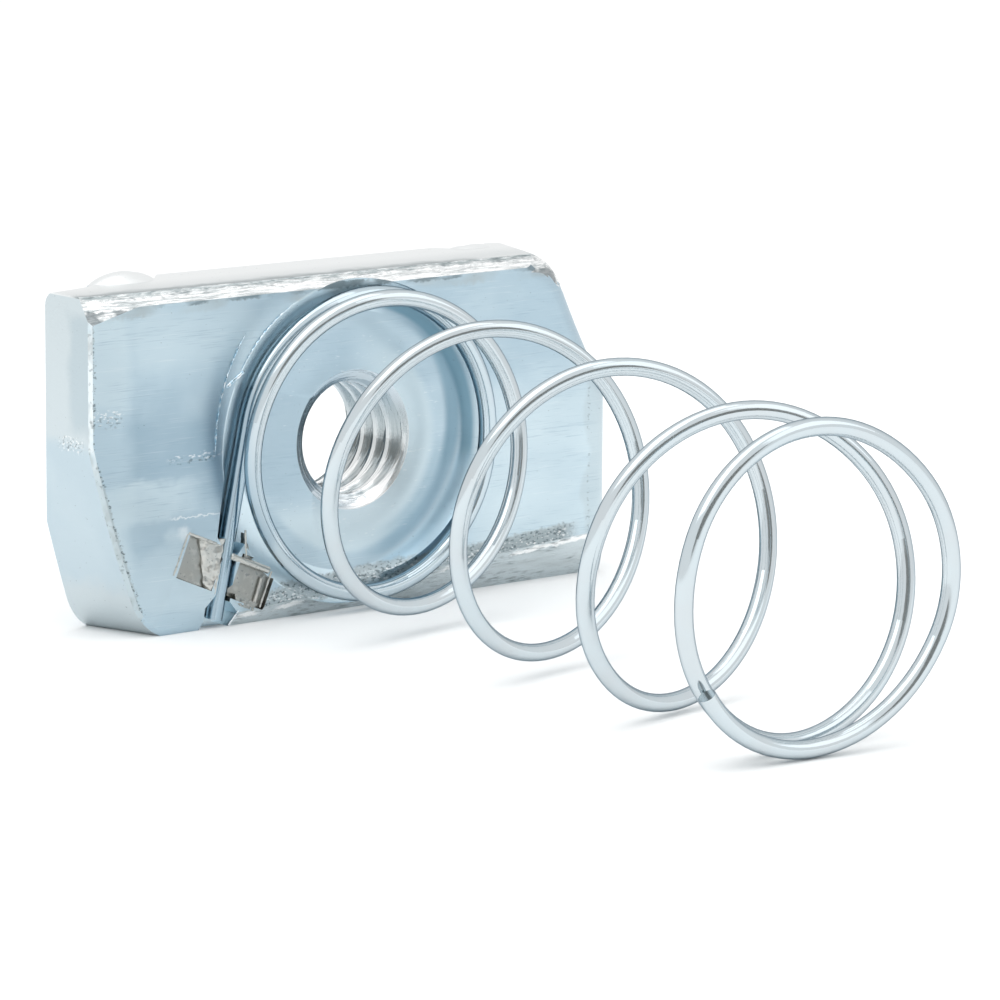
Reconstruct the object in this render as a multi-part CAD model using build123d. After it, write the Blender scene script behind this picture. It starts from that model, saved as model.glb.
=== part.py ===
"""Strut spring nut, M8: a toothed channel nut with a long coil spring staked to it.

Frame: millimetres, +Z up. The nut stands on its long narrow side. The origin is where the bolt
enters, on the axis of the threaded hole at the toothed face. The hole runs along Y: the bolt
comes in from +Y and the spring stands out towards -Y. X is the length of the nut.
"""
from build123d import *
from math import cos, radians, sin, tan
import os

os.makedirs("parts", exist_ok=True)

# ---- Driving dimensions -------------------------------------------------------------------
LENGTH = 38.4          # nut, across the channel
WIDTH = 20.0           # nut, passes the channel's slot before it is turned
THICKNESS = 6.4        # nut, toothed face to spring face
END_THICKNESS = 4.5    # nut, at its two thinned ends

THREAD_MINOR_R = 3.324     # M8 x 1.25, bore at the thread's minor diameter
SINK_R = 4.17              # countersinks of the threaded hole
SPRING_SINK_DEPTH = 0.5
BOLT_SINK_DEPTH = 0.4

SEAT_RIM_R = 8.8       # dished spring seat round the hole
SEAT_FLOOR_R = 7.1
SEAT_DEPTH = 0.8

CUT_DRAFT = 16.5       # degrees, sheared corner faces flare towards the toothed face
# Sheared lines at the spring face, both drawn as the lower left corner: (x, z) of a long arc and
# of the round that runs it out into the long side. The far corner is turned half round.
NEAR_CUT = [(-19.55, 3.0), (-17.65, -4.0), (-16.20, -8.0), (-15.25, -9.35), (-14.20, -10.02)]
FAR_CUT = [(-20.20, 0.8), (-17.35, -4.0), (-15.40, -8.0), (-14.50, -9.25), (-13.10, -10.02)]
EDGE_BREAK = 0.2       # broken front edge of the near end
EDGE_ROLL = 1.6        # rolled-over front edge of the far end
END_ROUND = 0.9        # rounded top corner of the near end, toothed side
TOP_ROLL = 0.7         # rolled-over front edge along the top

GROOVE_X = 12.1        # lip grooves, distance from the hole's axis
GROOVE_FLOOR = 1.5     # flat of the groove that carries the teeth
GROOVE_DEPTH = 1.5
GROOVE_FLANK = 1.2     # width of each sloping flank
TOOTH_PITCH = 1.5
TOOTH_DEPTH = 0.65
TOOTH_COUNT = 12
SQUEEZE = [(-13.4, 2.9, 0.6), (12.1, 2.6, 0.25)]  # swellings at the grooves: x, reach, height
SQUEEZE_DEPTH = 1.2

WIRE_R = 0.5           # spring wire, 1.0 mm
SLOT_DEPTH = 1.1       # tail slot
TRACK_R = 9.65         # rim of the sunk track that leads the first half turn up to the face
TRACK_X = -0.3
TRACK_DEPTH = 0.62         # at its middle
TRACK_TILT = 0.069

PUNCH = 2.5            # square staking punch
PUNCH_DEPTH = 0.8
PUNCH_TURN = -23.0     # degrees
PUNCH_GAP = 1.5        # metal left between the two punch marks, round the tail

# Stations along the spring's wire: turn angle (degrees, clockwise from the top as seen from the
# free end), advance of the wire's centre from the spring face, coil centre X and Z.
STATIONS = [
    (-78, -0.55, 0.65, 0.0),
    (0, 0.30, 0.60, 0.0),
    (90, 0.55, 0.40, -0.10),
    (180, 0.80, 0.20, -0.20),
    (270, 1.90, -0.50, 0.10),
    (360, 4.10, -1.10, 0.35),
    (540, 8.00, -1.80, 0.30),
    (720, 15.60, -2.50, 0.10),
    (900, 21.60, -3.10, -0.10),
    (1080, 28.20, -3.70, -0.35),
    (1260, 34.20, -4.30, -0.75),
    (1440, 40.40, -4.90, -1.00),
    (1530, 43.90, -5.10, -0.98),
    (1620, 45.30, -5.30, -0.96),
    (1710, 46.15, -5.45, -0.96),
    (1800, 46.90, -5.84, -0.96),
    (1890, 47.80, -5.35, -0.96),
    (1980, 47.20, -6.12, -0.96),
    (2035, 46.85, -5.95, -0.96),
]
COIL_R_NUT = 8.70      # centre line of the coil at the nut
COIL_R_FREE = 8.50     # and at the free end
WIRE_STEP = 30.0       # degrees of coil in each arc of the wire
TAIL_LENGTH = 11.6     # straight tail, laid in its slot

FACE_Y = -THICKNESS    # spring face


# ---- Nut blank: one profile drawn along the width -------------------------------------------
def nut_profile():
    """Section across the channel: toothed side up in Y, flat spring face at FACE_Y."""
    end, lip = LENGTH / 2, END_THICKNESS - THICKNESS
    outer = GROOVE_X + GROOVE_FLOOR / 2 + GROOVE_FLANK
    inner = GROOVE_X - GROOVE_FLOOR / 2 - GROOVE_FLANK
    floor = GROOVE_FLOOR / 2
    right = [
        (inner, 0.0),
        (GROOVE_X - floor, -GROOVE_DEPTH),
        (GROOVE_X + floor, -GROOVE_DEPTH),
        (outer, -0.15),
    ]
    left = [(-x, y) for x, y in reversed(right)]
    with BuildSketch(Plane.XY) as sk:
        with BuildLine():
            Polyline(*left, *right)
            ThreePointArc(right[-1], (outer + 2.5, -1.2), (end, lip))
            Polyline((end, lip), (end, FACE_Y), (-end, FACE_Y), (-end, lip))
            ThreePointArc((-end, lip), (-outer - 2.5, -1.2), left[0])
        make_face()
    return sk.sketch


def corner_cut(y, flare, line):
    """Plan of the metal sheared off a lower left corner, at height y, moved out by flare."""
    points = [(x - flare, z) for x, z in line]
    with BuildSketch(Plane.XZ.offset(-y)) as sk:
        with BuildLine():
            ThreePointArc(*points[0:3])
            ThreePointArc(*points[2:5])
            low = points[4]
            Polyline(low, (low[0], -WIDTH), (-LENGTH, -WIDTH), (-LENGTH, points[0][1]), points[0])
        make_face()
    return sk.sketch


def sheared_corner(line):
    flare = THICKNESS * tan(radians(CUT_DRAFT))
    step = 1.0 / THICKNESS
    before = corner_cut(FACE_Y - 1.0, -flare * step, line)
    behind = corner_cut(1.0, flare * (1 + step), line)
    return loft([before, behind], ruled=True)


blank = extrude(nut_profile(), WIDTH / 2, both=True)
blank -= sheared_corner(NEAR_CUT)
blank -= sheared_corner(FAR_CUT).rotate(Axis.Y, 180)

# The punch that cropped the blank rolled the front edge of the far end over.
far_edges = [
    e for e in blank.edges()
    if abs(e.bounding_box().max.Y - FACE_Y) < 0.01
    and e.center().X > 14.5
    and e.bounding_box().size.Z > 3.0
]
blank = fillet(far_edges, EDGE_ROLL)
near_edges = [
    e for e in blank.edges()
    if abs(e.bounding_box().max.Y - FACE_Y) < 0.01
    and e.center().X < -14.5
    and e.bounding_box().size.Z > 3.0
]
blank = chamfer(near_edges, EDGE_BREAK)
top_edges = [
    e for e in blank.edges()
    if abs(e.bounding_box().max.Y - FACE_Y) < 0.01
    and abs(e.center().Z - WIDTH / 2) < 0.01
]
blank = chamfer(top_edges, TOP_ROLL)
thin_edges = [
    e for e in blank.edges()
    if abs(e.bounding_box().min.Z - WIDTH / 2) < 0.01
    and e.center().X < -15.0
    and e.center().Y > -2.0
]
blank = fillet(thin_edges, END_ROUND)

# Along the bottom the roll widens from near nothing to almost 3 mm at the far end.
along, down = Vector(29.0, 0.0, 2.1), Vector(0.0, 1.3, -2.8)
roll_plane = Plane(origin=(-10.0, FACE_Y, -9.3), x_dir=along, z_dir=down.cross(along))
roll_block = Box(80, 40, 10, align=(Align.CENTER, Align.CENTER, Align.MIN))
nut = blank - roll_plane * roll_block

# The upper left corner of the spring face was knocked off.
low, along, back = Vector(-19.2, FACE_Y, 8.4), Vector(3.4, 0.0, 0.9), Vector(0.0, 1.1, 1.6)
chip_plane = Plane(origin=low, x_dir=along, z_dir=along.cross(back))
nut -= chip_plane * roll_block


# ---- Toothed grooves that seat on the channel's lips ----------------------------------------
def tooth_notch():
    """V notch across one groove floor."""
    with BuildSketch(Plane.YZ) as sk:
        with BuildLine():
            Polyline(
                (-GROOVE_DEPTH + 0.01, -TOOTH_PITCH * 0.46),
                (-GROOVE_DEPTH - TOOTH_DEPTH, 0.0),
                (-GROOVE_DEPTH + 0.01, TOOTH_PITCH * 0.46),
                close=True,
            )
        make_face()
    return extrude(sk.sketch, (GROOVE_FLOOR + GROOVE_FLANK) / 2, both=True)


# Pressing the teeth squeezed the metal up out of the grooves' top ends.
section_above = extrude(nut_profile(), WIDTH / 2 + 2.0)
for x, reach, rise in SQUEEZE:
    swelling = scale(Sphere(1.0), by=(reach, 1.5, SQUEEZE_DEPTH + rise))
    nut += (Pos(x, -1.3, WIDTH / 2 - SQUEEZE_DEPTH) * swelling) & section_above

notch = tooth_notch()
rows = [
    Pos(side * GROOVE_X, 0, (i - (TOOTH_COUNT - 1) / 2) * TOOTH_PITCH) * notch
    for side in (-1, 1)
    for i in range(TOOTH_COUNT)
]
nut -= rows


# ---- Threaded hole and spring seat, one revolved cut ----------------------------------------
def hole_and_seat():
    """Half section: seat dish at the spring face, countersunk bore, bolt-side countersink."""
    floor_y = FACE_Y + SEAT_DEPTH
    with BuildSketch(Plane.XY) as sk:
        with BuildLine():
            Polyline(
                (0.0, 1.0),
                (THREAD_MINOR_R + BOLT_SINK_DEPTH + 1.0, 1.0),
                (THREAD_MINOR_R + BOLT_SINK_DEPTH, 0.0),
                (THREAD_MINOR_R, -BOLT_SINK_DEPTH),
                (THREAD_MINOR_R, floor_y + SPRING_SINK_DEPTH),
                (SINK_R, floor_y),
                (SEAT_FLOOR_R, floor_y),
            )
            Spline(
                (SEAT_FLOOR_R, floor_y),
                (SEAT_RIM_R, FACE_Y),
                tangents=[(1.0, 0.0), (0.75, -1.0)],
            )
            Polyline((SEAT_RIM_R, FACE_Y), (SEAT_RIM_R, FACE_Y - 1), (0.0, FACE_Y - 1), (0.0, 1.0))
        make_face()
    return revolve(sk.sketch, Axis.Y)


nut -= hole_and_seat()

# The sunk track: a disc whose floor is tilted, deep where the tail leaves and level with the
# face where the wire has climbed out of it.
track_plane = Plane(
    origin=(TRACK_X, FACE_Y + TRACK_DEPTH, 0.0),
    x_dir=(1.0, -TRACK_TILT, 0.0),
    z_dir=(-TRACK_TILT, -1.0, 0.0),
)
track = Plane.XZ.offset(-FACE_Y - 2.0) * Pos(TRACK_X, 0, 0) * Cylinder(
    TRACK_R, 4.0, align=(Align.CENTER, Align.CENTER, Align.MIN)
)
track &= track_plane * Box(40, 40, 6, align=(Align.CENTER, Align.CENTER, Align.MIN))
nut -= track


# ---- Tail line, slot and staking marks ------------------------------------------------------
TAIL_TURN = STATIONS[0][0]
tail_dir = Vector(-cos(radians(TAIL_TURN)), sin(radians(TAIL_TURN)))
TAIL_TOP = Vector(
    STATIONS[0][2] + COIL_R_NUT * sin(radians(TAIL_TURN)), COIL_R_NUT * cos(radians(TAIL_TURN))
)


def on_tail(z, side=0.0):
    """Point (X, Z) on the tail's line at height z, moved out sideways (+ is towards +X)."""
    k = (z - TAIL_TOP.Y) / tail_dir.Y
    return (TAIL_TOP.X + tail_dir.X * k + side, z)


fit = WIRE_R + 0.04
slot_points = [
    on_tail(4.6, -1.75),
    on_tail(-4.6, -1.15),
    on_tail(-5.4, -fit),
    on_tail(-8.0, -fit),
    on_tail(-8.7, -1.15),
    on_tail(-10.6, -1.15),
    on_tail(-10.6, 0.60),
    on_tail(-9.3, 1.35),
    on_tail(-8.5, fit),
    on_tail(-5.8, fit),
    on_tail(-5.2, 0.95),
    on_tail(3.6, 0.60),
]
with BuildSketch(Plane.XZ.offset(-FACE_Y + 1.0)) as slot_sketch:
    with BuildLine():
        Polyline(*slot_points, close=True)
    make_face()
nut -= extrude(slot_sketch.sketch, -(SLOT_DEPTH + 1.0))


def punch_mark(along_punch):
    """Square pocket left by the staking punch, its walls leaning out by a few degrees."""
    x, z = on_tail(-6.75)
    mark = Plane.XZ.offset(-FACE_Y) * Pos(x, z, 0) * Rot(0, 0, PUNCH_TURN)
    floor = mark * Pos(along_punch, 0, -PUNCH_DEPTH) * Rectangle(PUNCH, PUNCH)
    mouth = mark * Pos(along_punch, 0, 0.4) * Rectangle(PUNCH + 0.3, PUNCH + 0.3)
    return loft([floor, mouth], ruled=True)


nut -= [punch_mark(side * (PUNCH + PUNCH_GAP) / 2) for side in (-1, 1)]
nut.label = "nut_body"


# ---- Coil spring ----------------------------------------------------------------------------
def station(angle):
    """Advance and coil centre at a turn angle: cubic through the stations, slopes averaged."""
    rows = STATIONS
    i = max(k for k in range(len(rows) - 1) if rows[k][0] <= angle or k == 0)
    a0, a1 = rows[i][0], rows[i + 1][0]
    t = (angle - a0) / (a1 - a0)

    def slope(k, col):
        if k in (0, len(rows) - 1):
            return 0.0
        before, after = rows[k - 1], rows[k + 1]
        return (after[col] - before[col]) / (after[0] - before[0]) * (a1 - a0)

    out = []
    for col in (1, 2, 3):
        p0, p1, m0, m1 = rows[i][col], rows[i + 1][col], slope(i, col), slope(i + 1, col)
        out.append(
            (2 * t**3 - 3 * t**2 + 1) * p0 + (t**3 - 2 * t**2 + t) * m0
            + (-2 * t**3 + 3 * t**2) * p1 + (t**3 - t**2) * m1
        )
    return out


def wire_point(angle):
    """Centre of the wire at a turn angle."""
    advance, cx, cz = station(angle)
    share = min(max((angle - 360) / 1080, 0.0), 1.0)
    r = COIL_R_NUT + (COIL_R_FREE - COIL_R_NUT) * share
    return Vector(cx + r * sin(radians(angle)), FACE_Y - advance, cz + r * cos(radians(angle)))


# The wire's centre line: the straight tail, then arcs that each leave the last one in line.
first, last = STATIONS[0][0], STATIONS[-1][0]
count = round((last - first) / WIRE_STEP)
stops = [wire_point(first + (last - first) * i / count) for i in range(count + 1)]
tail_end = stops[0] + Vector(tail_dir.X, 0.0, tail_dir.Y) * TAIL_LENGTH
runs = [Line(tail_end, stops[0])]
for start, end in zip(stops, stops[1:]):
    runs.append(TangentArc(start, end, tangent=runs[-1] % 1))
wire_path = Wire(runs)
section = Plane(origin=tail_end, z_dir=stops[0] - tail_end) * Circle(WIRE_R)
spring = sweep(section, wire_path)
spring.label = "coil_spring"

export_step(nut, "parts/nut_body.step")
export_step(spring, "parts/coil_spring.step")
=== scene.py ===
"""Strut spring nut: finish, thread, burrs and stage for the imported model, laid out as an add-on."""
from math import atan2, cos, pi, radians, sin, tan

import bpy
from mathutils import Matrix, Vector


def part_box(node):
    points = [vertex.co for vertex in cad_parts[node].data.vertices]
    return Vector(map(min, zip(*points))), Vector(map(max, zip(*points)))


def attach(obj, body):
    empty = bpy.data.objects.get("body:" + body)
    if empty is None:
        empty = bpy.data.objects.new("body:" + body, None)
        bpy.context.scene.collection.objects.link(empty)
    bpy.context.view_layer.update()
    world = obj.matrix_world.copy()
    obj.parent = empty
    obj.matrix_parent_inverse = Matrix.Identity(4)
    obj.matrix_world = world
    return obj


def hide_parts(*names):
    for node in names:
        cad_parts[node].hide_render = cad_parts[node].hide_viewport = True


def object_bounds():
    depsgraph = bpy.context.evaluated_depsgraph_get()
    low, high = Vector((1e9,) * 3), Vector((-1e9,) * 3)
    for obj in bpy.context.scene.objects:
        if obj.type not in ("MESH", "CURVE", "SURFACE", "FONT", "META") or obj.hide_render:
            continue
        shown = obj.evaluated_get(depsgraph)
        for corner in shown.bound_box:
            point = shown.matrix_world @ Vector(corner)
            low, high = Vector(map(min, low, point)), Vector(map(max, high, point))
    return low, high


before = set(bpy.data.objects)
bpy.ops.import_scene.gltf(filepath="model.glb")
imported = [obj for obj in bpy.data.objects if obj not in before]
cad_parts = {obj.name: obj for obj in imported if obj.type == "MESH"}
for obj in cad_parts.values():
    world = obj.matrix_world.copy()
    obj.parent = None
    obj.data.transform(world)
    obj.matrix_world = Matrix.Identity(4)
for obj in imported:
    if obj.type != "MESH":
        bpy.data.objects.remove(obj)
cad_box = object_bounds()
nut_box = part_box("nut_body")

bl_info = {
    "name": "Strut spring nut",
    "version": (1, 0, 0),
    "blender": (4, 5, 0),
    "location": "View3D > Sidebar > Spring nut",
    "description": "Dresses the packed strut spring nut: thread, burrs, plating and a studio stage",
    "category": "Object",
}

MM = 0.001

# Lines on the spring face, in mm: how far X (or Z) moves for each mm of the other, and where.
ROLL_SLOPE, ROLL_HEIGHT = 0.0724, 8.576    # where the rolled-over bottom edge begins
TAIL_LEAN, TAIL_X = 0.2126, 8.245          # centre of the wire's tail, left of the hole
SHEAR_LEAN = 0.335                         # sheared left edge, below the middle


def linear(hex_colour):
    """An sRGB hex colour as the linear RGBA that the shaders take."""
    channels = [int(hex_colour[i:i + 2], 16) / 255 for i in (1, 3, 5)]
    return [c / 12.92 if c <= 0.04045 else ((c + 0.055) / 1.055) ** 2.4 for c in channels] + [1.0]


# ---- Settings that a user would change --------------------------------------------------------
def length_setting(name, description, default_mm):
    """A length property in millimetres of the real part."""
    return bpy.props.FloatProperty(
        name=name, description=description, default=default_mm * MM, unit="LENGTH", precision=5
    )


def colour_setting(name, description, hex_colour):
    """A colour property, written as sRGB hex."""
    return bpy.props.FloatVectorProperty(
        name=name, description=description, default=linear(hex_colour)[:3], size=3,
        subtype="COLOR", min=0.0, max=1.0,
    )


def angle_setting(name, description, degrees):
    """An angle property, written in degrees."""
    return bpy.props.FloatProperty(
        name=name, description=description, default=radians(degrees), subtype="ANGLE"
    )


class SpringNutSizes(bpy.types.PropertyGroup):
    """Sizes of what is modelled here on top of the CAD solids."""

    thread_pitch: length_setting("Thread pitch", "Pitch of the M8 thread", 1.25)
    thread_minor: length_setting("Minor radius", "Radius of the bore at the thread crests", 3.324)
    thread_major: length_setting("Major radius", "Radius at the thread roots", 4.0)
    thread_start: length_setting(
        "Thread start", "Where the thread cutter starts, beyond the toothed face", 1.0
    )
    thread_turns: bpy.props.IntProperty(
        name="Thread turns", description="Turns of the thread cutter", default=6, min=1
    )


class SpringNutColours(bpy.types.PropertyGroup):
    """Colours of the plating, the bare steel and the stage."""

    film: colour_setting("Film", "Blue passivate film on the rolled face", "#b9cdd8")
    film_thin: colour_setting("Film, thin", "Where the film is thin and nearly white", "#ccdce3")
    # Also painted shade on the seat's leaning wall and on the left and top of the threaded hole.
    film_deep_and_shade: colour_setting("Film, deep", "Where the film lies thicker", "#9ab2c1")
    # Also painted shade in the seat: its leaning wall, the corner under the first turn and its rim.
    film_pooled_and_shade: colour_setting("Film, pooled", "Film that pooled in corners and recesses", "#6f93a5")
    # Also a painted reflection: the deep blue crescent low on the seat's wall.
    film_blue_and_reflection: colour_setting("Film, clear", "Clear blue film in the seat and on burrs", "#b5d3e4")
    film_sunk: colour_setting("Film, sunk track", "Film on the sunk track of the wire", "#dcedf5")
    zinc: colour_setting("Zinc", "Bright zinc on the sides and the sheared ends", "#c9d3d7")
    # Also painted highlights: the top side, glints on torn edges, burrs and the rolled edge, a glare on
    # raised metal, and the threaded hole.
    zinc_bright_and_highlight: colour_setting("Zinc, burnished", "Zinc burnished white on edges", "#fbfcfc")
    # Also painted shade on the flanks and the right of the threaded hole.
    torn: colour_setting("Torn edge", "Grey of rolled and torn edges", "#a9b2b4")
    pits: colour_setting("Pits", "Pits and oil held in torn metal", "#59666b")
    # Painted shade of the deep slot beside the wire's tail.
    slot: colour_setting("Slot", "Deep slot beside the wire", "#a9c0cb")
    steel: colour_setting("Struck steel", "Bare steel under the staking punch", "#a3a4a0")
    steel_lip: colour_setting("Struck steel, lip", "Lip that the punch pushed up", "#cfcfca")
    # Painted shade: the walls of the punch marks, painted darker than their floors.
    steel_wall_shade: colour_setting("Struck steel, wall", "Walls of the punch marks", "#7c7a75")
    wire: colour_setting("Wire", "Bright zinc on drawn spring wire", "#cbd3d7")
    floor: colour_setting("Floor", "Plain pale floor", "#fcfdfd")
    card: colour_setting("Card", "Grey card that the wire mirrors", "#8c8c8a")


class SpringNutStudio(bpy.types.PropertyGroup):
    """The camera's place and lens."""

    azimuth: angle_setting("Azimuth", "Camera's turn round the part", -38.307)
    elevation: angle_setting("Elevation", "Camera's height above the horizon", 9.914)
    roll: angle_setting("Roll", "Camera's roll", 0.299)
    distance: length_setting("Distance", "From the camera to the point it looks at", 350.6)
    lens: bpy.props.FloatProperty(
        name="Lens", description="Focal length on a 36 mm sensor, in mm", default=214.54
    )
    aim: bpy.props.FloatVectorProperty(
        name="Aim", description="Point that the camera looks at", size=3, subtype="TRANSLATION",
        default=(6.28 * MM, -11.67 * MM, -3.42 * MM), precision=5,
    )


# ---- Shared helpers -----------------------------------------------------------------------------
def add(tree, kind, inputs=None, **settings):
    """Adds a shader node; an input is a value, another node or one of its outputs."""
    made = tree.nodes.new(kind)
    for name, value in settings.items():
        setattr(made, name, value)
    for name, value in (inputs or {}).items():
        if isinstance(value, bpy.types.Node):
            value = next(output for output in value.outputs if output.enabled)
        if isinstance(value, bpy.types.NodeSocket):
            tree.links.new(value, made.inputs[name])
        else:
            made.inputs[name].default_value = value
    return made


def new_material(name):
    """An empty node material and its tree, with the output node's surface socket."""
    material = bpy.data.materials.new(name)
    material.use_nodes = True
    tree = material.node_tree
    tree.nodes.clear()
    output = tree.nodes.new("ShaderNodeOutputMaterial")
    return material, tree, output


def only(*pieces):
    """Selects these objects and nothing else; the first is active."""
    if bpy.context.object and bpy.context.object.mode != "OBJECT":
        bpy.ops.object.mode_set(mode="OBJECT")
    bpy.ops.object.select_all(action="DESELECT")
    for piece in pieces:
        piece.select_set(True)
    bpy.context.view_layer.objects.active = pieces[0]


def edit(piece, select_all=True):
    """Opens a piece for editing, with all of it selected or none."""
    only(piece)
    bpy.ops.object.mode_set(mode="EDIT")
    bpy.ops.mesh.select_all(action="SELECT" if select_all else "DESELECT")


def edit_where(piece, chosen):
    """Opens a piece for editing with those vertices selected whose place is chosen."""
    edit(piece, select_all=False)
    bpy.ops.mesh.select_mode(type="VERT")
    done()
    for vertex in piece.data.vertices:
        vertex.select = chosen(vertex.co)
    bpy.ops.object.mode_set(mode="EDIT")


def done():
    """Closes the piece that is being edited."""
    bpy.ops.object.mode_set(mode="OBJECT")


def apply_modifiers(piece):
    """Applies all the modifiers of a piece, first to last."""
    only(piece)
    for modifier in list(piece.modifiers):
        bpy.ops.object.modifier_apply(modifier=modifier.name)


def copy_of_node(node, name):
    """A copy of a CAD node as a piece of its own, its loose triangles merged into one skin."""
    piece = bpy.data.objects.new(name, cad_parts[node].data.copy())
    bpy.context.scene.collection.objects.link(piece)
    piece.data.materials.clear()
    edit(piece)
    bpy.ops.mesh.customdata_custom_splitnormals_clear()
    bpy.ops.mesh.remove_doubles(threshold=0.001 * MM)
    done()
    return piece


# ---- Materials -----------------------------------------------------------------------------------
def millimetres(tree, waves=0.0, wave_size=2.0):
    """Object coordinates in millimetres, whole and split, pushed about by waves of this size."""
    place = add(tree, "ShaderNodeTexCoord")
    mm = add(tree, "ShaderNodeMapping", {"Vector": place.outputs["Object"], "Scale": (1000, 1000, 1000)})
    if waves:
        noise = add(tree, "ShaderNodeTexNoise", {"Vector": mm, "Scale": 1 / wave_size, "Detail": 3.0})
        push = add(
            tree, "ShaderNodeVectorMath",
            {0: noise.outputs["Color"], 1: (waves, waves, waves), 2: (-waves / 2, -waves / 2, -waves / 2)},
            operation="MULTIPLY_ADD",
        )
        mm = add(tree, "ShaderNodeVectorMath", {0: mm, 1: push}, operation="ADD")
    return mm, add(tree, "ShaderNodeSeparateXYZ", {0: mm}).outputs


def zone(tree, where, low, high, fade):
    """1 where a coordinate lies between low and high, fading to 0 over fade at each side."""
    rise = add(
        tree, "ShaderNodeMapRange", {"Value": where, "From Min": low - fade, "From Max": low + fade},
        interpolation_type="SMOOTHSTEP",
    )
    fall = add(
        tree, "ShaderNodeMapRange",
        {"Value": where, "From Min": high - fade, "From Max": high + fade, "To Min": 1.0, "To Max": 0.0},
        interpolation_type="SMOOTHSTEP",
    )
    return add(tree, "ShaderNodeMath", {0: rise, 1: fall}, operation="MULTIPLY")


def specks(tree, mm, size, low, high, offset=0.0):
    """Specks whose sizes along X, Y and Z are given in mm, sharper as low and high come together."""
    spread = add(
        tree, "ShaderNodeMapping",
        {"Vector": mm, "Location": (offset, offset, offset), "Scale": [1 / s for s in size]},
    )
    noise = add(tree, "ShaderNodeTexNoise", {"Vector": spread, "Scale": 1.0, "Detail": 2.0})
    return add(tree, "ShaderNodeMapRange", {"Value": noise, "From Min": low, "From Max": high})


def radius(tree, axes, centre=(0.0, 0.0)):
    """Distance in mm from a line along Y through the centre (X, Z)."""
    flat = add(tree, "ShaderNodeCombineXYZ", {"X": axes["X"], "Z": axes["Z"]})
    away = add(tree, "ShaderNodeVectorMath", {0: flat, 1: (centre[0], 0, centre[1])}, operation="SUBTRACT")
    return add(tree, "ShaderNodeVectorMath", {0: away}, operation="LENGTH").outputs["Value"]


def beyond_line(tree, across, along, slope, offset):
    """How far a coordinate lies beyond a sloping line, in mm: across - slope * along + offset."""
    line = add(tree, "ShaderNodeMath", {0: along, 1: -slope, 2: offset}, operation="MULTIPLY_ADD")
    return add(tree, "ShaderNodeMath", {0: line, 1: across}, operation="ADD")


def coats(tree, first, *layers):
    """Lays colours over each other: each layer is a colour, how much of it, and the masks it keeps to."""
    under = list(first) + [1.0]
    for colour, amount, *masks in layers:
        cover = amount
        for mask in masks:
            cover = add(tree, "ShaderNodeMath", {0: mask, 1: cover}, operation="MULTIPLY")
        under = add(
            tree, "ShaderNodeMix", {0: cover, 6: under, 7: list(colour) + [1.0]}, data_type="RGBA"
        )
    return under


def plated(tree, output, colour, roughness, relief, depth_mm):
    """Plated metal in this colour, its relief that deep; roughness and metal are the same all over."""
    bump = add(tree, "ShaderNodeBump", {"Height": relief, "Strength": 0.5, "Distance": depth_mm * MM})
    shader = add(
        tree, "ShaderNodeBsdfPrincipled",
        {"Base Color": colour, "Metallic": 1.0, "Roughness": roughness, "Normal": bump},
    )
    tree.links.new(shader.outputs[0], output.inputs["Surface"])


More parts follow.
